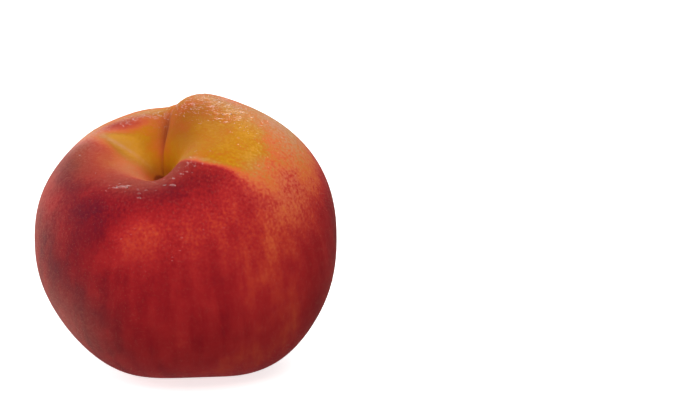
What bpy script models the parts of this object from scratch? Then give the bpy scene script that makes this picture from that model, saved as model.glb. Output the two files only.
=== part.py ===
"""A ripe peach lying on the small flat spot under its weight.

The skin is one closed surface round the core of the fruit. It is given by its distance from the core in every
direction: an upright rounded body, less the stem pit and the suture, plus the swellings and dips of this fruit.
The stem pit is turned towards the front and the left. +X is the fruit's right, -Y its front and +Z up.
"""

import math

import bmesh
import bpy
from mathutils import Matrix, Vector

MM = 0.001

# The rounded body, measured from the core
HALF_WIDTH = 37.8 * MM
HALF_DEPTH = 36.5 * MM
TOP_HEIGHT = 35.0 * MM
FOOT_HEIGHT = 33.7 * MM
FULLNESS = 2.3           # 2 gives an ellipsoid, more gives fuller cheeks
NAP = 0.2 * MM           # the velvet on the skin, counted in the outer size

# How the fruit lies: the stem's axis from upright, in degrees
STEM_FORWARD = 27.0
STEM_LEFT = 17.0
FLAT_DEPTH = 0.35 * MM   # how far the foot is pressed flat

# The stem pit, round the stem's axis, in degrees from that axis
PIT_DEPTH = 13.5 * MM
PIT_REACH = 14.3
PIT_STEEPNESS = 2.1      # 1 gives an even slope, more gives a steep wall
PIT_SOFT_SIDE = 125.0    # compass angle of the wall that slopes most gently
PIT_SOFTER = 0.75        # taken off the steepness there, added on the other side
PIT_NARROWER = 0.06      # share taken off the reach there, added on the other side

# The suture, at one compass angle round the stem's axis
SUTURE_AT = 77.0
SUTURE_DEPTH = 2.1 * MM
SUTURE_DEPTH_BELOW = 0.8 * MM
SUTURE_WIDTH = 13.0
SUTURE_DEEPEST = 48.0
SUTURE_LENGTH = 28.0
CREASE_DEPTH = 0.5 * MM
CREASE_WIDTH = 2.4
SWAY = 6.0               # the suture bends by this much inside the pit
SWAY_AT = 19.0
SWAY_LENGTH = 9.0
FADE_AT = 25.0           # the suture fades out nearer the stem than this

# The small point at the blossom end
TIP_HEIGHT = 1.4 * MM
TIP_WIDTH = 7.0

# Swellings and dips: compass angle round the stem's axis, angle down from it, spread, and height
SWELLINGS = (
    (110, 9, 27, -5.0 * MM),    # the wide bowl round the pit, off towards the back
    (-42, 25, 10, 1.0 * MM),    # crest at the right front of the pit
    (2, 28, 14, -1.8 * MM),     # valley to the right of the crest
    (-84, 18, 11, -2.6 * MM),   # low place in the front lip
    (136, 26, 9, 0.6 * MM),     # crest at the back left
    (63, 45, 15, 1.8 * MM),     # back right shoulder, the highest
    (20, 68, 20, -0.4 * MM),    # flatter right shoulder
    (100, 42, 17, -2.1 * MM),   # back left shoulder, lower
    (142, 54, 18, -1.4 * MM),   # falling left shoulder
    (-165, 98, 18, -0.9 * MM),  # flatter left flank
    (-138, 122, 16, 1.1 * MM),  # left lobe of the foot
    (-66, 136, 20, 1.8 * MM),   # right lobe of the foot
    (-106, 137, 9, -1.4 * MM),  # notch between the lobes
    (0, 180, 15, -0.8 * MM),    # dimple round the blossom end
)

# The net of faces: finer at the stem, at the blossom end and along the suture
SEGMENTS = 80
RINGS = 54
RING_CROWDING = 0.5      # 0 spaces the rings evenly
SEGMENT_CROWDING = 0.5   # 0 spaces the segments evenly

# The skin, as a plain red
SKIN_COLOUR = (0.33, 0.03, 0.022, 1.0)
SKIN_ROUGHNESS = 0.55


def bell(apart, spread):
    """1 in the middle, falling smoothly to nothing past the spread."""
    return math.exp(-((apart / spread) ** 2))


def turn_between(angle, other):
    """The shorter way round from one compass angle to another, in degrees."""
    return (angle - other + 180) % 360 - 180


def direction(compass, down):
    """The unit vector at a compass angle round the stem's axis and an angle down from it, in degrees."""
    ring = math.sin(math.radians(down))
    around = math.radians(compass)
    return Vector((ring * math.cos(around), ring * math.sin(around), math.cos(math.radians(down))))


STEM_FRAME = Matrix.Rotation(-math.radians(STEM_LEFT), 3, "Y") @ Matrix.Rotation(math.radians(STEM_FORWARD), 3, "X")


def body(heading):
    """Distance from the core to the upright rounded body along a heading."""
    height = TOP_HEIGHT if heading.z > 0 else FOOT_HEIGHT
    level = math.hypot(heading.x / HALF_WIDTH, heading.y / HALF_DEPTH)
    return (level ** FULLNESS + (abs(heading.z) / height) ** FULLNESS) ** (-1 / FULLNESS)


def pit(compass, down):
    """Depth of the narrow stem pit."""
    softness = math.cos(math.radians(compass - PIT_SOFT_SIDE))
    reach = PIT_REACH * (1 - PIT_NARROWER * softness)
    steepness = PIT_STEEPNESS - PIT_SOFTER * softness
    return PIT_DEPTH * math.exp(-((down / reach) ** steepness))


def suture(compass, down):
    """Depth of the suture's valley and of the fine crease along its bottom."""
    deepest = bell(down - SUTURE_DEEPEST, SUTURE_LENGTH)
    valley = SUTURE_DEPTH_BELOW + (SUTURE_DEPTH - SUTURE_DEPTH_BELOW) * deepest
    fade = min(math.sin(math.radians(down)) / math.sin(math.radians(FADE_AT)), 1)
    line = SUTURE_AT - SWAY * bell(down - SWAY_AT, SWAY_LENGTH)
    away = turn_between(compass, line)
    return fade * (valley * bell(away, SUTURE_WIDTH) + CREASE_DEPTH * bell(away, CREASE_WIDTH))


def swellings(heading):
    """Height that the swellings and dips add along a heading in the stem's frame."""
    height = 0
    for compass, down, spread, rise in SWELLINGS:
        cosine = heading.dot(direction(compass, down))
        apart = math.degrees(math.acos(max(-1, min(1, cosine))))
        height += rise * bell(apart, spread)
    return height


def skin_point(compass, down):
    """The point of the skin at a compass angle round the stem's axis and an angle down from it."""
    in_stem_frame = direction(compass, down)
    heading = STEM_FRAME @ in_stem_frame
    distance = body(heading) - pit(compass, down) - suture(compass, down) + swellings(in_stem_frame)
    distance += TIP_HEIGHT * bell(180 - down, TIP_WIDTH) + NAP
    return heading * distance


def crowd_rings(down):
    """Draws the rings of the net together at the stem and at the blossom end."""
    return down - math.degrees(RING_CROWDING * math.sin(2 * math.radians(down)) / 2)


def crowd_segments(compass):
    """Draws the segments of the net together at the suture."""
    return compass - math.degrees(SEGMENT_CROWDING * math.sin(math.radians(compass - SUTURE_AT)))


def skin_mesh():
    """A sphere whose every point is moved out to the skin, then set down on its flat spot."""
    net = bmesh.new()
    bmesh.ops.create_uvsphere(net, u_segments=SEGMENTS, v_segments=RINGS, radius=1)
    for vert in net.verts:
        down = math.degrees(math.acos(max(-1, min(1, vert.co.z))))
        compass = math.degrees(math.atan2(vert.co.y, vert.co.x))
        vert.co = skin_point(crowd_segments(compass), crowd_rings(down))
    press_flat(net)
    stand_at_origin(net)
    mesh = bpy.data.meshes.new("peach")
    net.to_mesh(mesh)
    net.free()
    return mesh


def press_flat(net):
    """Presses what is lowest into one level spot."""
    level = min(vert.co.z for vert in net.verts) + FLAT_DEPTH
    for vert in net.verts:
        vert.co.z = max(vert.co.z, level)


def stand_at_origin(net):
    """Puts the middle of the fruit's width and depth over the origin, and its foot on the ground."""
    xs = [vert.co.x for vert in net.verts]
    ys = [vert.co.y for vert in net.verts]
    zs = [vert.co.z for vert in net.verts]
    foot = Vector(((min(xs) + max(xs)) / 2, (min(ys) + max(ys)) / 2, min(zs)))
    bmesh.ops.translate(net, verts=net.verts, vec=-foot)


def skin_material():
    material = bpy.data.materials.new("peach_skin")
    material.use_nodes = True
    shader = material.node_tree.nodes["Principled BSDF"]
    shader.inputs["Base Color"].default_value = SKIN_COLOUR
    shader.inputs["Roughness"].default_value = SKIN_ROUGHNESS
    shader.inputs["Metallic"].default_value = 0.0
    return material


def clear_scene():
    for thing in list(bpy.data.objects):
        bpy.data.objects.remove(thing, do_unlink=True)


def main():
    clear_scene()
    collection = bpy.data.collections.new("Peach")
    bpy.context.scene.collection.children.link(collection)
    mesh = skin_mesh()
    mesh.materials.append(skin_material())
    mesh.shade_smooth()
    fruit = bpy.data.objects.new("peach", mesh)
    collection.objects.link(fruit)


main()
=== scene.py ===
import math

import bpy
import numpy as np
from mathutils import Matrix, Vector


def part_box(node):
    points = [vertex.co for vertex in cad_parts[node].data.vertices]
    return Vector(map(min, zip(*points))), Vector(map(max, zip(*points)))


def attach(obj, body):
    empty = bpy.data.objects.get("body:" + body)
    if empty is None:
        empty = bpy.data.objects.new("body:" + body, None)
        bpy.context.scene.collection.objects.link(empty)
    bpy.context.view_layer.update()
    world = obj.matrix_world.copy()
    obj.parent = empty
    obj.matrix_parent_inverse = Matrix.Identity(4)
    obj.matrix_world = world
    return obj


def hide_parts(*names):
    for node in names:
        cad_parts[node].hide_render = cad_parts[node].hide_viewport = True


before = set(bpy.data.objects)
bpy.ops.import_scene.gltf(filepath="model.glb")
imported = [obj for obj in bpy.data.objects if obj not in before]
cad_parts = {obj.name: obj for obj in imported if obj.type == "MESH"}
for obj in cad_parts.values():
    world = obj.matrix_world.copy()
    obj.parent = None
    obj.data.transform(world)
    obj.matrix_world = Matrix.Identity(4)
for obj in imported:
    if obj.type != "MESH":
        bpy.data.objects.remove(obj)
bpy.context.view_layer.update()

# A ripe peach with morning dew on it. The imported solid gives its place, and this script its skin, its down
# and the dew. Lengths are in mm and angles in degrees until the points go into a mesh.
mm = 0.001
seed = 7
smallTurn = 0.05               # degrees: the difference of angle that the skin's slopes are measured over

# The form. Compass angles run round the stem's axis, and down angles are counted from it.
form = {
    # the values of the part's own source
    "halfWidth": 37.8, "halfDepth": 36.5, "topHeight": 35.0, "footHeight": 33.7, "fullness": 2.3,
    "stemForward": 27.0, "stemLeft": 17.0,
    "pitDepth": 13.5, "pitReach": 14.3, "pitSteepness": 2.1,
    "pitSoftSide": 125.0, "pitSofter": 0.75, "pitNarrower": 0.06,
    "sutureAt": 77.0, "sutureDepth": 2.1, "sutureDepthBelow": 0.8, "sutureWidth": 13.0,
    "sutureDeepest": 48.0, "sutureLength": 28.0, "creaseDepth": 0.5, "creaseWidth": 2.4,
    "sway": 6.0, "swayAt": 19.0, "swayLength": 9.0, "fadeAt": 25.0,
    "tipHeight": 1.4, "tipWidth": 7.0,
    "nap": 0.2,                # the solid counts the down on the skin, this skin leaves room for it
    "swellings": [             # compass, down, spread, height
        (110, 9, 27, -5.0),    # the wide bowl round the pit
        (-42, 25, 10, 1.0),    # crest at the right front of the pit
        (2, 28, 14, -1.8),     # valley to the right of the crest
        (-84, 18, 11, -2.6),   # low place in the front lip
        (136, 26, 9, 0.6),     # crest at the back left
        (63, 45, 15, 1.8),     # back right shoulder, the highest
        (20, 68, 20, -0.4),    # flatter right shoulder
        (100, 42, 17, -2.1),   # back left shoulder
        (142, 54, 18, -1.4),   # falling left shoulder
        (-165, 98, 18, -0.9),  # flatter left flank
        (-138, 122, 16, 1.1),  # left lobe of the foot
        (-66, 136, 20, 1.8),   # right lobe of the foot
        (-106, 137, 9, -1.4),  # notch between the lobes
        (0, 180, 15, -0.8),    # dimple round the blossom end
    ],
    # what this finer skin has besides
    "creaseShift": 5.0,        # its crease runs this far to the right of the valley's middle
    "waves": 14, "waveHeight": 0.05, "wavesPerTurn": (5, 16),        # faint unevenness of a grown skin
    "scarWidth": 3.6, "scarDepth": 0.7,                              # where the stem came away
    "scarRim": 4.6, "scarRimHeight": 0.25, "scarRimWidth": 1.0,
    "segments": 384, "rings": 248, "crowding": 0.5,      # the net, closer at both ends and at the suture
}


def bell(apart, spread):
    # exp(-(apart / spread) squared): 1 in the middle, falling smoothly to nothing
    return np.exp(-(apart / spread) ** 2)


def step(value, start, end):
    # smooth step: 0 before start, 1 after end, 3 t^2 - 2 t^3 between them; start may be above end
    t = np.clip((value - start) / (end - start), 0, 1)
    return t * t * (3 - 2 * t)


def turnBetween(angle, other):
    # the shorter way round from one compass angle to another, in degrees
    return (angle - other + 180) % 360 - 180


def direction(compass, down):
    # unit vector (sin d cos c, sin d sin c, cos d)
    c, d = np.broadcast_arrays(np.radians(compass), np.radians(down))
    return np.stack([np.sin(d) * np.cos(c), np.sin(d) * np.sin(c), np.cos(d)], axis=-1)


def stemFrame():
    # turned forward about x, then to the left about y: its third column is the stem's axis
    f, l = math.radians(form["stemForward"]), math.radians(form["stemLeft"])
    aboutX = np.array([[1, 0, 0], [0, math.cos(f), -math.sin(f)], [0, math.sin(f), math.cos(f)]])
    aboutY = np.array([[math.cos(l), 0, -math.sin(l)], [0, 1, 0], [math.sin(l), 0, math.cos(l)]])
    return aboutY @ aboutX


def unevenness(heading):
    # mean of sine waves over the sphere, each running its own way, less 1, so that it lies between -2 and 0
    draw = np.random.default_rng(seed)
    ways = draw.normal(size=(form["waves"], 3))
    lengths = draw.uniform(*form["wavesPerTurn"], form["waves"]) / np.linalg.norm(ways, axis=1)
    ways *= lengths[:, None]
    phases = draw.uniform(0, 2 * math.pi, form["waves"])
    total = sum(np.sin(heading @ way + phase) for way, phase in zip(ways, phases))
    return total / form["waves"] - 1


def pitDepth(compass, down):
    # depth * exp(-(down / reach) ^ steepness), which slopes more gently on the soft side
    softness = np.cos(np.radians(compass - form["pitSoftSide"]))
    reach = form["pitReach"] * (1 - form["pitNarrower"] * softness)
    steepness = form["pitSteepness"] - form["pitSofter"] * softness
    return form["pitDepth"] * np.exp(-(down / reach) ** steepness)


def sutureAway(compass, down):
    # degrees of compass from the suture's line, which sways inside the pit
    line = form["sutureAt"] - form["sway"] * bell(down - form["swayAt"], form["swayLength"])
    return turnBetween(compass, line)


def sutureDepth(compass, down, creaseShift):
    # a valley, deepest at one angle down, and a fine crease along it; both fade out towards the stem
    deepest = bell(down - form["sutureDeepest"], form["sutureLength"])
    valley = form["sutureDepthBelow"] + (form["sutureDepth"] - form["sutureDepthBelow"]) * deepest
    fade = np.minimum(np.sin(np.radians(down)) / math.sin(math.radians(form["fadeAt"])), 1)
    away = sutureAway(compass, down)
    crease = form["creaseDepth"] * bell(away + creaseShift, form["creaseWidth"])
    return fade * (valley * bell(away, form["sutureWidth"]) + crease)


def skinPoints(compass, down, solid=False):
    # heading * (body - pit - suture + swellings + blossom tip), about the core: the solid's or the finer skin
    local = direction(compass, down)
    heading = local @ stemFrame().T
    height = np.where(heading[..., 2] > 0, form["topHeight"], form["footHeight"])
    level = np.hypot(heading[..., 0] / form["halfWidth"], heading[..., 1] / form["halfDepth"])
    upright = abs(heading[..., 2]) / height
    distance = (level ** form["fullness"] + upright ** form["fullness"]) ** (-1 / form["fullness"])
    distance = distance - pitDepth(compass, down)
    distance = distance - sutureDepth(compass, down, 0 if solid else form["creaseShift"])
    for at, below, spread, rise in form["swellings"]:
        apart = np.degrees(np.arccos(np.clip(local @ direction(at, below), -1, 1)))
        distance = distance + rise * bell(apart, spread)
    distance = distance + form["tipHeight"] * bell(180 - down, form["tipWidth"])
    if solid:
        distance = distance + form["nap"]
    else:
        distance = distance + form["waveHeight"] * unevenness(heading)
        distance = distance - form["scarDepth"] * bell(down, form["scarWidth"])
        distance = distance + form["scarRimHeight"] * bell(down - form["scarRim"], form["scarRimWidth"])
    return heading * distance[..., None]


def netAngles():
    # compass and down of the net's vertices, without its two poles: both are drawn together by a sine
    turn = np.arange(form["segments"]) / form["segments"] * 360
    compass = turn - np.degrees(form["crowding"] * np.sin(np.radians(turn - form["sutureAt"])))
    fall = np.arange(1, form["rings"]) / form["rings"] * 180
    down = fall - np.degrees(form["crowding"] * np.sin(np.radians(2 * fall)) / 2)
    return np.meshgrid(compass, down)


def findCore():
    # where the core lies in the frame: the solid's box against the box of its own formula, both in mm
    points = skinPoints(*netAngles(), solid=True).reshape(-1, 3)
    low, high = (np.array(corner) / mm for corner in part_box("peach"))
    middle = (low + high) / 2 - (points.min(0) + points.max(0)) / 2
    return np.array([middle[0], middle[1], high[2] - points[:, 2].max()])


core = findCore()
print("core of the fruit at", core.round(2), "mm")


def placed(points):
    # from mm about the core to metres in the frame, pressed flat where it rests
    points = (points + core) * mm
    points[..., 2] = np.maximum(points[..., 2], 0)
    return points


def outward(compass, down):
    # the cross product of the skin's slopes along both angles, as its unit normal and its length, an area
    alongDown = skinPoints(compass, down + smallTurn) - skinPoints(compass, down - smallTurn)
    alongTurn = skinPoints(compass + smallTurn, down) - skinPoints(compass - smallTurn, down)
    normal = np.cross(alongDown, alongTurn)
    area = np.linalg.norm(normal, axis=-1, keepdims=True)
    return normal / area, area[..., 0]


def sideways(normal, draw):
    # two unit vectors square to each normal and to each other, turned at random about it
    helper = draw.normal(size=normal.shape)
    first = np.cross(normal, helper)
    first /= np.linalg.norm(first, axis=-1, keepdims=True)
    return first, np.cross(normal, first)


def makePiece(name, points, faceSets, material, smooth=True):
    # a mesh from arrays: points in metres, and faces in sets with the same number of corners
    mesh = bpy.data.meshes.new(name)
    corners = np.concatenate([faces.ravel() for faces in faceSets]).astype(np.int32)
    counts = np.concatenate([np.full(len(faces), faces.shape[1]) for faces in faceSets])
    starts = (np.cumsum(counts) - counts).astype(np.int32)
    mesh.vertices.add(len(points))
    mesh.vertices.foreach_set("co", points.astype(np.float32).ravel())
    mesh.loops.add(len(corners))
    mesh.loops.foreach_set("vertex_index", corners)
    mesh.polygons.add(len(starts))
    mesh.polygons.foreach_set("loop_start", starts)
    mesh.update(calc_edges=True)
    mesh.validate()
    if smooth:
        mesh.shade_smooth()
    mesh.materials.append(material)
    piece = bpy.data.objects.new(name, mesh)
    bpy.context.scene.collection.objects.link(piece)
    return piece


def addNumbers(piece, name, numbers):
    # a named number, or vector, for each vertex, which a material reads
    kind, field = ("FLOAT", "value") if numbers.ndim == 1 else ("FLOAT_VECTOR", "vector")
    layer = piece.data.attributes.new(name, kind, "POINT")
    layer.data.foreach_set(field, numbers.astype(np.float32).ravel())


def linear(hexColour):
    # sRGB hex to linear: v / 12.92 up to 0.04045, and ((v + 0.055) / 1.055) ^ 2.4 above it
    values = [int(hexColour[i:i + 2], 16) / 255 for i in (1, 3, 5)]
    return tuple(v / 12.92 if v <= 0.04045 else ((v + 0.055) / 1.055) ** 2.4 for v in values) + (1.0,)


def addNode(tree, kind, values=None, links=None, **settings):
    # one node: settings of its own, values for its inputs, and links that feed its inputs
    node = tree.nodes.new(kind)
    for name, setting in settings.items():
        setattr(node, name, setting)
    for name, value in (values or {}).items():
        node.inputs[name].default_value = value
    for name, socket in (links or {}).items():
        tree.links.new(socket, node.inputs[name])
    return node


def newMaterial(name):
    # a material with an empty node tree
    material = bpy.data.materials.new(name)
    material.use_nodes = True
    material.node_tree.nodes.clear()
    return material, material.node_tree


# Where the skin is gold and where it is red, by the two angles. Blush runs from 0, bare gold, to 1, darkest
# maroon. A pair named Ends gives the angles down at which a change begins and is done.
blush = {
    "red": 0.70,
    "wall": 0.28, "wallEnds": (28.0, 13.0),        # the pit's wall, salmon where it isn't gold
    "lipEnds": (18.0, 9.0), "lipAt": -88.0, "lipWidth": 62.0,           # narrower at the lip in front
    "goldMiddle": 50.0,                            # the gold lies to both sides of this compass angle
    "goldFrom": -36.0,                             # its first edge
    "goldFlare": 11.0, "flareEnds": (22.0, 40.0),  # and that edge's bend
    "goldTo": 134.0,                               # its second edge, past the suture
    "sharpEdge": 3.0, "softEdge": 30.0,            # degrees of arc that the first edge takes
    "softEnds": (30.0, 66.0),
    "leftEdge": (-8.0, 8.0 / 3),                   # the second edge, from outside it to inside
    "gold": 0.07, "paleGold": 0.22, "outerGold": 0.62,
    "goldEnds": (42.0, 53.0), "outerEnds": (64.0, 86.0),
    "wander": ((4, 10.0, 7.0), (7, 0.0, 5.0)),     # the outer end's waves: turns, where they begin, degrees
    "wanderFrom": -10.0, "wanderSides": (40.0, 70.0),       # they grow to both sides of this compass angle
    "suture": 0.10, "sutureEnds": (8.0, 14.0),
    "sutureSoft": 10.0, "sutureSharp": 2.5,        # its line has one soft side
    "sutureFade": (44.0, 74.0), "sutureLeft": 0.3,          # and this share of it is left further down
    "patches": [                       # compass, down, spread across, spread along, amount
        (96, 24, 7, 9, 0.08),          # orange to the left of the suture
        (60, 22, 8, 12, 0.14),         # and to its right
        (44, 35, 18, 7, 0.10),         # browner over the crest
        (113, 36, 12, 7, 0.48),        # the red back left shoulder
        (108, 29, 9, 4, 0.19),
        (163, 25, 17, 9, -0.26),
        (-46, 30, 4, 4, -0.10),
        (138, 34, 6, 5, -0.10),
        (126, 22, 5, 8, -0.09),        # the brightest gold
        (158, 40, 10, 9, 0.14),
        (174, 33, 13, 8, 0.29),
        (-141, 38, 16, 12, 0.26),      # dark crimson on the left
        (-162, 58, 14, 12, 0.08),
        (-146, 70, 22, 16, 0.18),
        (-76, 30, 20, 9, 0.21),        # the dark lip
        (-104, 44, 14, 10, -0.21),     # orange in front of the lip
        (-88, 42, 9, 7, -0.05),
        (-116, 50, 7, 7, -0.10),
        (-74, 54, 9, 9, -0.10),
        (-22, 64, 10, 11, 0.18),       # pinkish red on the right
        (-52, 68, 16, 24, -0.20),
        (-54, 96, 10, 9, -0.12),
        (-45, 71, 6, 6, -0.07),
        (-52, 72, 5, 7, -0.04),
        (-72, 57, 10, 4, 0.06),
        (-51, 64, 4, 4, 0.08),
        (-72, 86, 8, 10, -0.06),
        # painted shade on the lower right rim
        (-8, 94, 14, 14, 0.14),
        (20, 54, 12, 8, -0.04),
        (-10, 45, 6, 4, -0.07),
        (-124, 42, 8, 6, 0.06),
        (-27, 46, 5, 5, 0.06),
        (-102, 84, 8, 10, -0.08),
        (-132, 84, 13, 18, 0.08),
        (-170, 60, 7, 8, 0.12),
        # painted light: lighter low on the front, where the lamps give too little
        (-76, 112, 26, 14, -0.20),
        (28, 68, 22, 12, -0.16),
        (60, 92, 18, 20, -0.22),       # gold on the back
        (150, 100, 16, 24, -0.16),
        (-10, 150, 30, 20, 0.10),
    ],
    "streakEnds": (34.0, 62.0),        # the streaks begin between these angles down
    "streakless": (-2, 62, 30, 20, 0.8),           # but are faint on the right shoulder
    "streakTurn": 14.0,                # their own axis leans this much less to the left than the stem
    "streakMeet": (100.0, 165.0),      # and turns to the blossom end between these angles down
}

# How far the skin is paled, from 0 to 1: where the down stands dry, with painted sheen on the rims and the
# lip and painted highlights along two ridges.
bloomAndSheen = {
    "patches": [
        (42, 45, 18, 7, 0.32),         # right shoulder
        (20, 60, 20, 11, 0.41),
        # painted sheen on the right shoulder's rim
        (30, 72, 16, 9, 0.30),
        (-26, 58, 12, 14, 0.06),
        (-26, 46, 6, 5, 0.10),
        (100, 44, 16, 6, 0.34),        # back left shoulder
        (134, 43, 9, 7, 0.46),
        (180, 14, 10, 5, 0.16),        # left side of the pit
        (-162, 10, 8, 4, 0.10),
        (-132, 14, 12, 5, 0.09),
        (138, 34, 9, 6, 0.23),
        (128, 19, 6, 6, 0.06),
        (22, 31, 16, 6, 0.06),
        (162, 28, 15, 7, 0.13),        # left shoulder
        (160, 42, 12, 7, 0.12),
        (168, 58, 24, 16, 0.17),       # left flank and lower left rim: painted sheen where the light grazes them
        (172, 82, 26, 18, 0.16),
        (-152, 88, 18, 17, 0.20),
        (-134, 84, 12, 18, 0.04),
        (-104, 21, 30, 5, 0.11),       # lip: painted sheen
        (90, 80, 60, 30, 0.10),        # back
    ],
    "edge": 0.20, "edgeInside": 1.4, "edgeWidth": 1.2,      # a painted highlight just inside the gold's first edge, along the crest
    "edgeAt": 27.0, "edgeLength": 7.0,
    "ridge": 0.26, "ridgeAt": 135.0, "ridgeBend": 0.05,     # and a painted highlight along a bent ridge on the left
    "ridgeWidth": 1.1, "ridgeDown": 22.0, "ridgeLength": 10.0,
    "sutureBare": 0.8,                 # but the suture's line has little
}

# How strongly the skin is flecked and dotted.
grain = {
    "base": 0.25,
    "patches": [
        (-14, 60, 34, 20, 0.80),       # right shoulder
        (-80, 50, 26, 12, 0.30),       # in front of the lip
        (-70, 36, 60, 12, 0.40),
        (44, 40, 24, 9, 0.40),         # crest
        (2, 38, 14, 7, -0.38),         # the gold below it is smooth
        (104, 38, 18, 7, 0.60),        # back left shoulder
        (-170, 50, 12, 14, 0.25),      # left rim
        (90, 90, 60, 30, 0.40),        # back
    ],
}

# How far the skin is mixed towards dark brown, from 0 to 1: painted shade in the pit and round it, on the
# left shoulders and along the suture's crease, darker over the crest, and real cork at the stem's scar and
# the dry blossom tip.
shadeAndCork = {
    "patches": [
        (52, 25, 15, 12, 0.56),        # painted shade on the back wall of the pit
        (24, 36, 18, 8, 0.15),         # crest
        (56, 35, 20, 7, 0.14),
        (43, 46, 12, 4, 0.12),
        (-12, 28, 18, 9, 0.17),
        (104, 38, 18, 8, 0.46),        # painted shade on the back left shoulder, where less light falls
        (120, 4, 60, 5, 0.54),         # painted shade at the bottom of the pit
        (106, 28, 9, 5, 0.24),
        (50, 7, 30, 4, 0.12),
        (10, 20, 8, 6, 0.07),
        (166, 27, 14, 9, 0.42),        # painted shade on the left shoulder and the pit's left wall
        (152, 33, 9, 5, 0.22),
        (-170, 24, 8, 6, 0.08),
        (-160, 13, 8, 4, 0.10),
        (-132, 15, 12, 5, 0.10),
        (-100, 20, 46, 5, 0.34),       # painted shade on the inner side of the lip
        (-74, 26, 24, 8, 0.09),
    ],
    # painted shade along the suture's crease
    "suture": 0.38, "sutureAt": 21.0, "sutureLength": 18.0,
    "scar": 0.9, "scarEnds": (5.5, 3.0),           # corky ring where the stem came away
    "tip": 0.8, "tipEnds": (175.0, 178.0),         # dry blossom tip
}


def patchSum(patches, compass, down):
    # sum of amount * bell(across) * bell(along), across counted in degrees of arc
    total = 0
    for at, below, across, along, amount in patches:
        arc = turnBetween(compass, at) * np.sin(np.radians(down))
        total = total + amount * bell(arc, across) * bell(down - below, along)
    return total


def pastGoldEdges(compass, down):
    # degrees of arc inside the gold's first edge, which bends outwards in the pit, and inside its second
    fromMiddle = turnBetween(compass, blush["goldMiddle"])
    edge = blush["goldFrom"] - blush["goldFlare"] * (1 - step(down, *blush["flareEnds"]))
    arc = np.sin(np.radians(down))
    pastFirst = (fromMiddle + blush["goldMiddle"] - edge) * arc
    pastSecond = (blush["goldTo"] - blush["goldMiddle"] - fromMiddle) * arc
    return pastFirst, pastSecond


def sutureLine(compass, down):
    # a dark line along the crease, soft to its left and sharp to its right
    away = sutureAway(compass, down) + form["creaseShift"]
    return bell(away, np.where(away > 0, blush["sutureSoft"], blush["sutureSharp"]))


def blushAt(compass, down):
    # red, less the pit's wall and a gold sector that fades outwards, plus the suture's line and the patches
    softness = blush["sharpEdge"] + (blush["softEdge"] - blush["sharpEdge"]) * step(down, *blush["softEnds"])
    pastFirst, pastSecond = pastGoldEdges(compass, down)
    inside = step(pastFirst, -softness / 2, softness / 2) * step(pastSecond, *blush["leftEdge"])

    gold = blush["gold"] + (blush["paleGold"] - blush["gold"]) * step(down, *blush["goldEnds"])
    waves = sum(high * np.sin(np.radians(turns * (compass - begin)))
                for turns, begin, high in blush["wander"])
    reach = down + waves * step(abs(turnBetween(compass, blush["wanderFrom"])), *blush["wanderSides"])
    gold = gold + (blush["outerGold"] - blush["paleGold"]) * step(reach, *blush["outerEnds"])

    front = bell(turnBetween(compass, blush["lipAt"]), blush["lipWidth"])
    outer, inner = (wide + (narrow - wide) * front
                    for wide, narrow in zip(blush["wallEnds"], blush["lipEnds"]))
    red = blush["red"] + (blush["wall"] - blush["red"]) * step(down, outer, inner)

    line = blush["suture"] * sutureLine(compass, down) * step(down, *blush["sutureEnds"])
    line = line * (1 + (blush["sutureLeft"] - 1) * step(down, *blush["sutureFade"]))
    return red + (gold - red) * inside + line + patchSum(blush["patches"], compass, down)


def bloomAndSheenAt(compass, down):
    # the patches, and two painted highlights: pale lines along the gold's first edge and along the ridge on
    # the left
    edge = bloomAndSheen["edge"] * bell(pastGoldEdges(compass, down)[0] - bloomAndSheen["edgeInside"], bloomAndSheen["edgeWidth"])
    edge = edge * bell(down - bloomAndSheen["edgeAt"], bloomAndSheen["edgeLength"])
    fromRidge = down - bloomAndSheen["ridgeDown"]
    line = bloomAndSheen["ridgeAt"] - bloomAndSheen["ridgeBend"] * fromRidge ** 2
    arc = turnBetween(compass, line) * np.sin(np.radians(down))
    ridge = bloomAndSheen["ridge"] * bell(arc, bloomAndSheen["ridgeWidth"]) * bell(fromRidge, bloomAndSheen["ridgeLength"])
    total = edge + ridge + patchSum(bloomAndSheen["patches"], compass, down)
    return np.clip(total * (1 - bloomAndSheen["sutureBare"] * sutureLine(compass, down)), 0, 1)


def shadeAndCorkAt(compass, down):
    # the patches, the suture's line, the stem's scar and the blossom tip
    total = patchSum(shadeAndCork["patches"], compass, down) + shadeAndCork["scar"] * step(down, *shadeAndCork["scarEnds"])
    line = sutureLine(compass, down) * bell(down - shadeAndCork["sutureAt"], shadeAndCork["sutureLength"])
    total = total + shadeAndCork["suture"] * line
    return np.clip(total + shadeAndCork["tip"] * step(down, *shadeAndCork["tipEnds"]), 0, 1)


def streaksAt(compass, down):
    # none in the pit, and few on the right shoulder
    return step(down, *blush["streakEnds"]) * (1 - patchSum([blush["streakless"]], compass, down))


def grainAt(compass, down):
    # the base and the patches
    return grain["base"] + patchSum(grain["patches"], compass, down)


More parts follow.
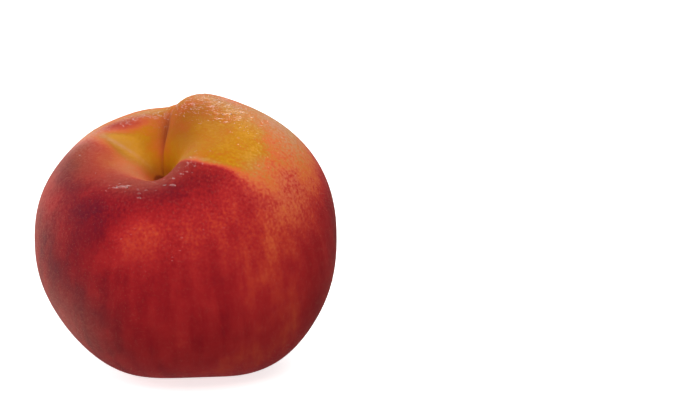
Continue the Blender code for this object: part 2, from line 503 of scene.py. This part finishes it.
# The skin of a peach: a thin skin grown over the flesh, gold at first and blushed red by the sun in dots
# and streaks that run from stem to blossom, under a short pale down. It looks matt and soft, and pale at its
# edges.
velvet = {
    "ramp": [
        (0.0, "#CC8E10"), (0.08, "#BE8004"), (0.14, "#C2740E"), (0.26, "#D4692C"), (0.38, "#CE5434"),
        (0.48, "#BF392C"), (0.58, "#AF2729"), (0.70, "#9E1D23"), (0.86, "#80121F"), (1.0, "#670F22"),
    ],
    # the down's pale colour, also used for painted sheen and highlights, and a dark brown for painted shade
    # and the scar's cork
    "paleDownAndSheen": "#D6A694", "shadeAndCorkColour": "#763416",
    "patterns": {                      # size in mm, detail, and how far it moves the blush
        "streak": (3.0, 2.0, 0.34),    # its size is across, and along it is drawn out by 1 / squeeze
        "mottle": (5.0, 3.0, 0.28),
        "fleck": (0.75, 2.0, 0.50),    # real ones are 0.3 mm, too fine to show
    },
    "streakSqueeze": 0.16,
    "frost": (0.36, 0.64, 0.7),        # the flecks' noise from and to, and the share of the bloom it moves
    "dotSize": 1.15, "dotReach": (0.36, 0.05), "dotShare": 0.05,   # pale dots, one to each cell of this size
    "poreSize": 0.55, "poreHeight": 0.05,          # mm; real pores are half as large, too fine to show
    "poreDetail": 2.0, "poreStrength": 0.6,
    "smoothest": 0.52, "roughest": 0.68, "gloss": 0.025,
    "sheen": 0.03, "sheenRoughness": 0.35, "sheenTint": "#FFE4D2",
    "flesh": 0.10, "fleshReach": (1.0, 0.32, 0.12), "fleshScale": 2.0,      # mm that light travels in it
}


def velvetSkin():
    material, tree = newMaterial("velvetSkin")
    place = addNode(tree, "ShaderNodeTexCoord").outputs["Object"]
    meridian = addNode(tree, "ShaderNodeAttribute", attribute_name="meridian").outputs["Vector"]
    share = {name: addNode(tree, "ShaderNodeAttribute", attribute_name=name).outputs["Fac"]
             for name in ("blush", "bloomAndSheen", "shadeAndCork", "streaks", "grain")}

    # blush, plus each pattern's noise about its middle of 0.5; the meridian is in mm, the place in metres
    noise, swing = {}, {}
    for name, (size, detail, height) in velvet["patterns"].items():
        scale, where = (1 / size, meridian) if name == "streak" else (1 / (size * mm), place)
        noise[name] = addNode(tree, "ShaderNodeTexNoise", values={"Scale": scale, "Detail": detail},
                              links={"Vector": where}).outputs["Fac"]
        swing[name] = addNode(tree, "ShaderNodeMapRange", clamp=False, links={"Value": noise[name]},
                              values={"To Min": -height / 2, "To Max": height / 2}).outputs["Result"]
    level = addNode(tree, "ShaderNodeMath", operation="MULTIPLY_ADD",
                    links={0: swing["streak"], 1: share["streaks"], 2: share["blush"]}).outputs["Value"]
    level = addNode(tree, "ShaderNodeMath", operation="ADD",
                    links={0: level, 1: swing["mottle"]}).outputs["Value"]
    level = addNode(tree, "ShaderNodeMath", operation="MULTIPLY_ADD",
                    links={0: swing["fleck"], 1: share["grain"], 2: level}).outputs["Value"]
    ramp = addNode(tree, "ShaderNodeValToRGB", links={"Fac": level})
    stops = ramp.color_ramp.elements
    while len(stops) < len(velvet["ramp"]):
        stops.new(0.5)
    for stop, (at, hexColour) in zip(stops, velvet["ramp"]):
        stop.position = at
        stop.color = linear(hexColour)

    # how much pale colour lies over it: the bloom, pale down with painted sheen and highlights, thinner on
    # dark flecks, and tufts at the dots
    low, high, moved = velvet["frost"]
    frost = addNode(tree, "ShaderNodeMapRange", links={"Value": noise["fleck"]},
                    values={"From Min": low, "From Max": high, "To Min": moved, "To Max": -moved})
    frost = addNode(tree, "ShaderNodeMath", operation="MULTIPLY_ADD", values={2: 1.0},
                    links={0: frost.outputs["Result"], 1: share["grain"]}).outputs["Value"]
    cells = addNode(tree, "ShaderNodeTexVoronoi", values={"Scale": 1 / (velvet["dotSize"] * mm)},
                    links={"Vector": place}).outputs["Distance"]
    outside, within = velvet["dotReach"]
    dots = addNode(tree, "ShaderNodeMapRange", links={"Value": cells},
                   values={"From Min": outside, "From Max": within, "To Max": velvet["dotShare"]})
    dots = addNode(tree, "ShaderNodeMath", operation="MULTIPLY",
                   links={0: dots.outputs["Result"], 1: share["grain"]}).outputs["Value"]
    pale = addNode(tree, "ShaderNodeMath", operation="MULTIPLY_ADD", use_clamp=True,
                   links={0: frost, 1: share["bloomAndSheen"], 2: dots}).outputs["Value"]

    # the pale down and painted sheen over the ramp, then the painted shade and the scar's cork; a colour Mix
    # mixes its inputs 6 and 7 into output 2
    colour = ramp.outputs["Color"]
    for amount, over in ((pale, velvet["paleDownAndSheen"]), (share["shadeAndCork"], velvet["shadeAndCorkColour"])):
        colour = addNode(tree, "ShaderNodeMix", data_type="RGBA", values={7: linear(over)},
                         links={0: amount, 6: colour}).outputs[2]

    pores = addNode(tree, "ShaderNodeTexNoise", links={"Vector": place},
                    values={"Scale": 1 / (velvet["poreSize"] * mm), "Detail": velvet["poreDetail"]})
    relief = addNode(tree, "ShaderNodeBump", links={"Height": pores.outputs["Fac"]},
                     values={"Strength": velvet["poreStrength"], "Distance": velvet["poreHeight"] * mm})
    rough = addNode(tree, "ShaderNodeMapRange", links={"Value": pores.outputs["Fac"]},
                    values={"To Min": velvet["smoothest"], "To Max": velvet["roughest"]})
    shader = addNode(tree, "ShaderNodeBsdfPrincipled", links={
        "Base Color": colour,
        "Roughness": rough.outputs["Result"],
        "Normal": relief.outputs["Normal"],
    }, values={
        "Specular IOR Level": velvet["gloss"],
        "Sheen Weight": velvet["sheen"],
        "Sheen Roughness": velvet["sheenRoughness"],
        "Sheen Tint": linear(velvet["sheenTint"]),
        "Subsurface Weight": velvet["flesh"],
        "Subsurface Radius": velvet["fleshReach"],
        "Subsurface Scale": velvet["fleshScale"] * mm,
    })
    addNode(tree, "ShaderNodeOutputMaterial", links={"Surface": shader.outputs["BSDF"]})
    return material


def meridianAt(compass, down):
    # (R cos c, R sin c, R d squeeze) about the streaks' own axis: a noise of it is streaks down the fruit
    turn = np.radians(blush["streakTurn"] * (1 - step(down, *blush["streakMeet"])))
    x, y, z = np.moveaxis(direction(compass, down), -1, 0)
    x, z = np.cos(turn) * x - np.sin(turn) * z, np.sin(turn) * x + np.cos(turn) * z
    radius = form["halfWidth"]
    ring = np.hypot(x, y).clip(1e-6)       # never nothing, so that the ends can be divided by it
    along = radius * np.arccos(z) * velvet["streakSqueeze"]
    return np.stack([radius * x / ring, radius * y / ring, along], axis=-1)


def makeSkin():
    # the net of skinPoints, with a vertex at each pole
    compass, down = netAngles()
    rings, segments = compass.shape
    poles = skinPoints(np.zeros(2), np.array([0.0, 180.0]))
    points = placed(np.concatenate([skinPoints(compass, down).reshape(-1, 3), poles]))
    row = np.arange(rings - 1)[:, None] * segments
    here = np.arange(segments)[None, :]
    after = (here + 1) % segments
    below = row + segments
    quads = np.stack([row + here, below + here, below + after, row + after], axis=-1).reshape(-1, 4)
    first, last = rings * segments, rings * segments + 1
    top = np.stack([np.full(segments, first), here[0], after[0]], axis=-1)
    foot = np.stack([np.full(segments, last), below[-1] + after[0], below[-1] + here[0]], axis=-1)
    skin = makePiece("skin", points, [quads, top, foot], velvetSkin())
    compass = np.concatenate([compass.ravel(), [0.0, 0.0]])
    down = np.concatenate([down.ravel(), [0.0, 180.0]])
    for name, numbersAt in (("blush", blushAt), ("bloomAndSheen", bloomAndSheenAt), ("shadeAndCork", shadeAndCorkAt),
                            ("streaks", streaksAt), ("grain", grainAt), ("meridian", meridianAt)):
        addNumbers(skin, name, numbersAt(compass, down))
    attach(skin, "root")
    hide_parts("peach")
    print("skin:", len(quads) * 2 + segments * 2, "triangles")


makeSkin()

# The down on the skin: short soft hairs that lean down the fruit and a little every way.
fuzz = {
    "hairs": 120000, "tries": 4,                    # and how many are drawn for each that is kept
    "shortest": 0.08, "longest": 0.17, "thickness": 0.011, "root": 0.01,     # mm; the root is in the skin
    "lean": 0.9, "ruffle": 0.7,                     # sideways reach for one of height: down, and at random
    "leastLean": 0.3,                               # each hair leans by this share of that, or more
    "poleGap": 0.5,                                 # degrees left free at both ends
    "floorGap": 0.02,                               # mm: no hair grows under the spot it rests on
    "bands": [("downCrown", 0, 62), ("downCheek", 62, 106), ("downFoot", 106, 180)],    # by down angle
    "colour": "#E6C09A", "smoothest": 0.6, "roughest": 0.8, "tuftSize": 2.0, "gloss": 0.2,
}


def fineHair():
    # plant hair: hollow, colourless and thin, so it scatters light like frost and pales what it covers
    material, tree = newMaterial("fineHair")
    place = addNode(tree, "ShaderNodeTexCoord").outputs["Object"]
    tufts = addNode(tree, "ShaderNodeTexNoise", links={"Vector": place},
                    values={"Scale": 1 / (fuzz["tuftSize"] * mm), "Detail": 1.0})
    rough = addNode(tree, "ShaderNodeMapRange", links={"Value": tufts.outputs["Fac"]},
                    values={"To Min": fuzz["smoothest"], "To Max": fuzz["roughest"]})
    shader = addNode(tree, "ShaderNodeBsdfPrincipled", links={"Roughness": rough.outputs["Result"]},
                     values={"Base Color": linear(fuzz["colour"]), "Specular IOR Level": fuzz["gloss"]})
    addNode(tree, "ShaderNodeOutputMaterial", links={"Surface": shader.outputs["BSDF"]})
    return material


def makeFuzz():
    # each hair is a three-sided spike: foot + thickness / 2 (cos a, sin a), and foot + length (lean, 1)
    draw = np.random.default_rng(seed + 1)
    tries = fuzz["hairs"] * fuzz["tries"]
    compass = draw.uniform(-180, 180, tries)
    down = np.degrees(np.arccos(draw.uniform(-1, 1, tries))).clip(fuzz["poleGap"], 180 - fuzz["poleGap"])
    normal, area = outward(compass, down)
    area = area / np.sin(np.radians(down))
    chance = area / (area.sum() / fuzz["hairs"])      # as many to each square mm everywhere
    kept = draw.uniform(size=tries) < chance
    compass, down, normal = compass[kept], down[kept], normal[kept]
    foot = skinPoints(compass, down)
    downhill = skinPoints(compass, down + smallTurn) - foot
    downhill /= np.linalg.norm(downhill, axis=-1, keepdims=True)
    first, second = sideways(normal, draw)
    length = draw.uniform(fuzz["shortest"], fuzz["longest"], len(down))[:, None]
    lean = fuzz["lean"] * downhill + fuzz["ruffle"] * first * draw.uniform(-1, 1, len(down))[:, None]
    reach = normal + lean * draw.uniform(fuzz["leastLean"], 1, len(down))[:, None]
    tip = foot + length * reach / np.linalg.norm(reach, axis=-1, keepdims=True)
    turns = np.radians([0, 120, 240])[None, :, None]
    across = np.cos(turns) * first[:, None] + np.sin(turns) * second[:, None]
    base = (foot - fuzz["root"] * normal)[:, None] + fuzz["thickness"] / 2 * across
    hairs = np.concatenate([base, tip[:, None]], axis=1)
    clear = (hairs[..., 2] + core[2] > fuzz["floorGap"]).all(axis=1)
    material = fineHair()
    for name, start, end in fuzz["bands"]:
        chosen = hairs[clear & (down >= start) & (down < end)]
        ends = np.arange(len(chosen))[:, None, None] * 4
        faces = (ends + np.array([(0, 1, 3), (1, 2, 3), (2, 0, 3), (0, 2, 1)])).reshape(-1, 3)
        piece = makePiece(name, placed(chosen.reshape(-1, 3)), [faces], material)
        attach(piece, "root")
        print(name + ":", len(chosen), "hairs,", len(faces), "triangles")


makeFuzz()

# Dew: beads of clear water that stand on the down, most of them on the shoulders where the air is coolest.
dew = {
    "beads": [                  # compass, down, radius in mm
        (-122, 24, 0.50), (-117, 23, 0.36), (-127, 25, 0.30), (-80, 26, 0.28), (-70, 25, 0.30),      # lip
        (-130, 25, 0.24), (-74, 28, 0.34), (-62, 26, 0.24), (-50, 24, 0.22), (-104, 27, 0.18),
        (25, 39, 0.46), (25, 46, 0.40), (19, 48, 0.34), (16, 36, 0.34), (23, 34, 0.32),    # right shoulder
        (38, 38, 0.34),
    ],
    "mists": [      # compass, down, spread across and along, how many, smallest and largest radius
        (34, 42, 10, 4, 150, 0.10, 0.26),
        (42, 45, 13, 5, 300, 0.07, 0.20),
        (50, 35, 8, 4, 170, 0.08, 0.22),
        (98, 37, 10, 3, 200, 0.08, 0.22),
        (4, 62, 12, 9, 60, 0.07, 0.18),
        (-112, 25, 9, 2, 26, 0.07, 0.18),
        (-48, 26, 4, 2, 40, 0.07, 0.16),
        (-96, 46, 14, 5, 24, 0.06, 0.14),
        (90, 95, 40, 25, 120, 0.08, 0.24),
    ],
    "mistEnds": (3, 176),       # a mist keeps between these angles down
    "smallness": 2.5,           # above 1 there are more small beads in a mist than large ones
    "floorGap": 1.0,            # mm: none hangs near the spot it rests on
    "turns": 8, "rings": (30, 60, 90),      # a bead's corners, by angles round it and from its crown
    "height": 0.6, "heights": (0.8, 1.1),   # for one of radius, and how far it varies
    "undercut": 0.06,           # mm that a bead's foot lies in the skin
    "long": (1.6, 3.4),         # each is this much longer across the slope
    # the share that isn't clear scatters white: painted brightness that stands in for light gathered in the
    # drops
    "clear": 0.95, "bend": 1.333, "smoothness": 0.08,
    "gloss": 0.5, "coat": 0.8, "coatBend": 1.48,        # stronger than water's, as a spark is under a pixel
    "swellSize": 0.8, "swellHeight": 0.05, "swellStrength": 0.05,
}


def dewWater():
    # clean water: clear and smooth, with a bright spark where a lamp shows in it
    material, tree = newMaterial("dewWater")
    place = addNode(tree, "ShaderNodeTexCoord").outputs["Object"]
    swell = addNode(tree, "ShaderNodeTexNoise", links={"Vector": place},
                    values={"Scale": 1 / (dew["swellSize"] * mm), "Detail": 0.0})
    relief = addNode(tree, "ShaderNodeBump", links={"Height": swell.outputs["Fac"]},
                     values={"Strength": dew["swellStrength"], "Distance": dew["swellHeight"] * mm})
    shader = addNode(tree, "ShaderNodeBsdfPrincipled", links={"Normal": relief.outputs["Normal"]}, values={
        "Base Color": (1, 1, 1, 1),
        "Roughness": dew["smoothness"],
        "IOR": dew["bend"],
        "Transmission Weight": dew["clear"],
        "Specular IOR Level": dew["gloss"],
        "Coat Weight": dew["coat"],
        "Coat IOR": dew["coatBend"],
        "Coat Roughness": dew["smoothness"],
    })
    addNode(tree, "ShaderNodeOutputMaterial", links={"Surface": shader.outputs["BSDF"]})
    return material


def makeDew():
    # each bead: radius (sin a cos b, sin a sin b) across and height cos a up, a by rings, and a sunk middle
    draw = np.random.default_rng(seed + 2)
    rows = [np.array(dew["beads"], float)]
    for at, below, across, along, count, smallest, largest in dew["mists"]:
        down = np.clip(below + along * draw.normal(size=count), *dew["mistEnds"])
        compass = at + across * draw.normal(size=count) / np.sin(np.radians(down))
        radius = smallest + (largest - smallest) * draw.uniform(size=count) ** dew["smallness"]
        rows.append(np.stack([compass, down, radius], axis=1))
    compass, down, radius = np.concatenate(rows).T
    normal = outward(compass, down)[0]
    foot = skinPoints(compass, down)
    clear = foot[:, 2] + core[2] > dew["floorGap"]
    normal, foot, radius = normal[clear][:, None], foot[clear][:, None], radius[clear][:, None, None]
    first = np.cross([0, 0, 1], normal)
    first /= np.linalg.norm(first, axis=-1, keepdims=True)
    second = np.cross(normal, first)
    stretch = draw.uniform(*dew["long"], radius.shape)
    height = radius * dew["height"] * draw.uniform(*dew["heights"], radius.shape)

    turns, rings = dew["turns"], len(dew["rings"])
    rise = np.repeat(np.radians(dew["rings"]), turns)[None, :, None]
    turn = np.tile(np.arange(turns) / turns * 2 * math.pi, rings)[None, :, None]
    across = np.cos(turn) * first * stretch + np.sin(turn) * second
    dome = foot + radius * np.sin(rise) * across + height * np.cos(rise) * normal
    points = np.concatenate([dome, foot + height * normal, foot - dew["undercut"] * normal], axis=1)

    here = np.arange(turns)
    after = (here + 1) % turns
    each = points.shape[1]
    crown, sunk = np.full(turns, each - 2), np.full(turns, each - 1)
    *upper, lowest = (ring * turns for ring in range(rings))
    quads = [np.stack([ring + here, ring + turns + here, ring + turns + after, ring + after], axis=1)
             for ring in upper]
    caps = [np.stack([crown, here, after], axis=1), np.stack([sunk, lowest + after, lowest + here], axis=1)]
    offset = np.arange(len(points))[:, None, None] * each
    faceSets = [(offset + np.concatenate(faces)).reshape(-1, corners)
                for faces, corners in ((quads, 4), (caps, 3))]
    beads = makePiece("dew", placed(points.reshape(-1, 3)), faceSets, dewWater())
    beads.visible_shadow = False       # water lets the light through to the skin
    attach(beads, "root")
    print("dew:", len(points), "beads,", len(points) * turns * rings * 2, "triangles")


makeDew()

# A seamless pale paper floor under large soft lamps. Lengths are in mm, places from the fruit's core.
stage = {
    "floorHalf": 4000.0, "floorColour": "#F4F4F4", "floorGlow": 0.82,
    "floorRoughness": 0.9, "floorGloss": 0.1,
    "toothPerMm": 0.9, "toothHeight": 0.2, "toothStrength": 0.05,    # real paper's is finer, too fine to show
    "air": "#FFFFFF", "airLeft": 0.74, "airRight": 0.25,       # brighter on the left, as by a window
    "lamps": [      # name, place, width, height, watts, colour
        ("keyLamp", (150, -650, 900), 800, 800, 9.2, "#FFF8F0"),
        ("backLamp", (150, 650, 800), 900, 700, 2.4, "#FFFFFF"),
        ("leftLamp", (-900, 250, 300), 800, 800, 4.2, "#FFFFFF"),
    ],
}


def mattPaper():
    # matt white paper: pale, even and without gloss
    material, tree = newMaterial("mattPaper")
    place = addNode(tree, "ShaderNodeTexCoord").outputs["Object"]
    tooth = addNode(tree, "ShaderNodeTexNoise", links={"Vector": place},
                    values={"Scale": stage["toothPerMm"] / mm, "Detail": 2.0})
    relief = addNode(tree, "ShaderNodeBump", links={"Height": tooth.outputs["Fac"]},
                     values={"Strength": stage["toothStrength"], "Distance": stage["toothHeight"] * mm})
    shader = addNode(tree, "ShaderNodeBsdfPrincipled", links={"Normal": relief.outputs["Normal"]}, values={
        "Base Color": linear(stage["floorColour"]),
        "Roughness": stage["floorRoughness"],
        "Specular IOR Level": stage["floorGloss"],
        "Emission Color": linear(stage["floorColour"]),
        "Emission Strength": stage["floorGlow"],
    })
    addNode(tree, "ShaderNodeOutputMaterial", links={"Surface": shader.outputs["BSDF"]})
    return material


def makeFloor():
    half = stage["floorHalf"] * mm
    corners = np.array([(-half, -half, 0), (half, -half, 0), (half, half, 0), (-half, half, 0)])
    floor = makePiece("floor", corners, [np.arange(4).reshape(1, 4)], mattPaper(), smooth=False)
    floor.visible_glossy = False       # the air below stands for the light that the paper throws back
    floor.visible_diffuse = False


def makeAir():
    # even light from all round, which falls off from left to right: the way's x runs from -1 to 1
    air = bpy.data.worlds.new("paleAir")
    air.use_nodes = True
    tree = air.node_tree
    way = addNode(tree, "ShaderNodeTexCoord").outputs["Generated"]
    across = addNode(tree, "ShaderNodeSeparateXYZ", links={"Vector": way}).outputs["X"]
    strength = addNode(tree, "ShaderNodeMapRange", links={"Value": across},
                       values={"From Min": -1.0, "To Min": stage["airLeft"], "To Max": stage["airRight"]})
    background = tree.nodes["Background"]
    background.inputs["Color"].default_value = linear(stage["air"])
    tree.links.new(strength.outputs["Result"], background.inputs["Strength"])
    bpy.context.scene.world = air


def makeLamps():
    # each lamp is tilted from straight down by its angle from upright, then turned to look at the core
    for name, place, width, height, watts, hexColour in stage["lamps"]:
        lamp = bpy.data.lights.new(name, "AREA")
        lamp.shape = "RECTANGLE"
        lamp.size, lamp.size_y = width * mm, height * mm
        lamp.energy = watts
        lamp.color = linear(hexColour)[:3]
        holder = bpy.data.objects.new(name, lamp)
        x, y, z = np.array(place) * mm
        holder.location = core * mm + (x, y, z)
        holder.rotation_euler = (math.atan2(math.hypot(x, y), z), 0, math.atan2(y, x) + math.pi / 2)
        bpy.context.scene.collection.objects.link(holder)
    print("stage:", len(stage["lamps"]), "lamps")


makeFloor()
makeAir()
makeLamps()

# The camera stands in front and looks down on the fruit. Lengths are in mm, places from the fruit's core.
view = {
    "distance": 880.0, "lookDown": 15.0, "right": 39.05, "up": 7.9, "farthest": 20000.0,
    "sensor": 36.0, "pixelsAcross": 684,
    "pixelsPerTurn": 3520.0,        # a length at a distance of the same length, in pixels
}


def makeCamera():
    lens = bpy.data.cameras.new("camera")
    lens.sensor_width = view["sensor"]
    lens.lens = view["pixelsPerTurn"] / view["pixelsAcross"] * view["sensor"]
    lens.clip_end = view["farthest"] * mm
    camera = bpy.data.objects.new("camera", lens)
    tilt = math.radians(view["lookDown"])
    right, up = np.array([1, 0, 0]), np.array([0, math.sin(tilt), math.cos(tilt)])
    back = np.array([0, -math.cos(tilt), math.sin(tilt)])
    camera.location = (core + view["right"] * right + view["up"] * up + view["distance"] * back) * mm
    camera.rotation_euler = (math.pi / 2 - tilt, 0, 0)
    bpy.context.scene.collection.objects.link(camera)
    bpy.context.scene.camera = camera
    bpy.context.scene.view_settings.view_transform = "Standard"
    print("camera: lens", round(lens.lens, 2), "mm")


makeCamera()
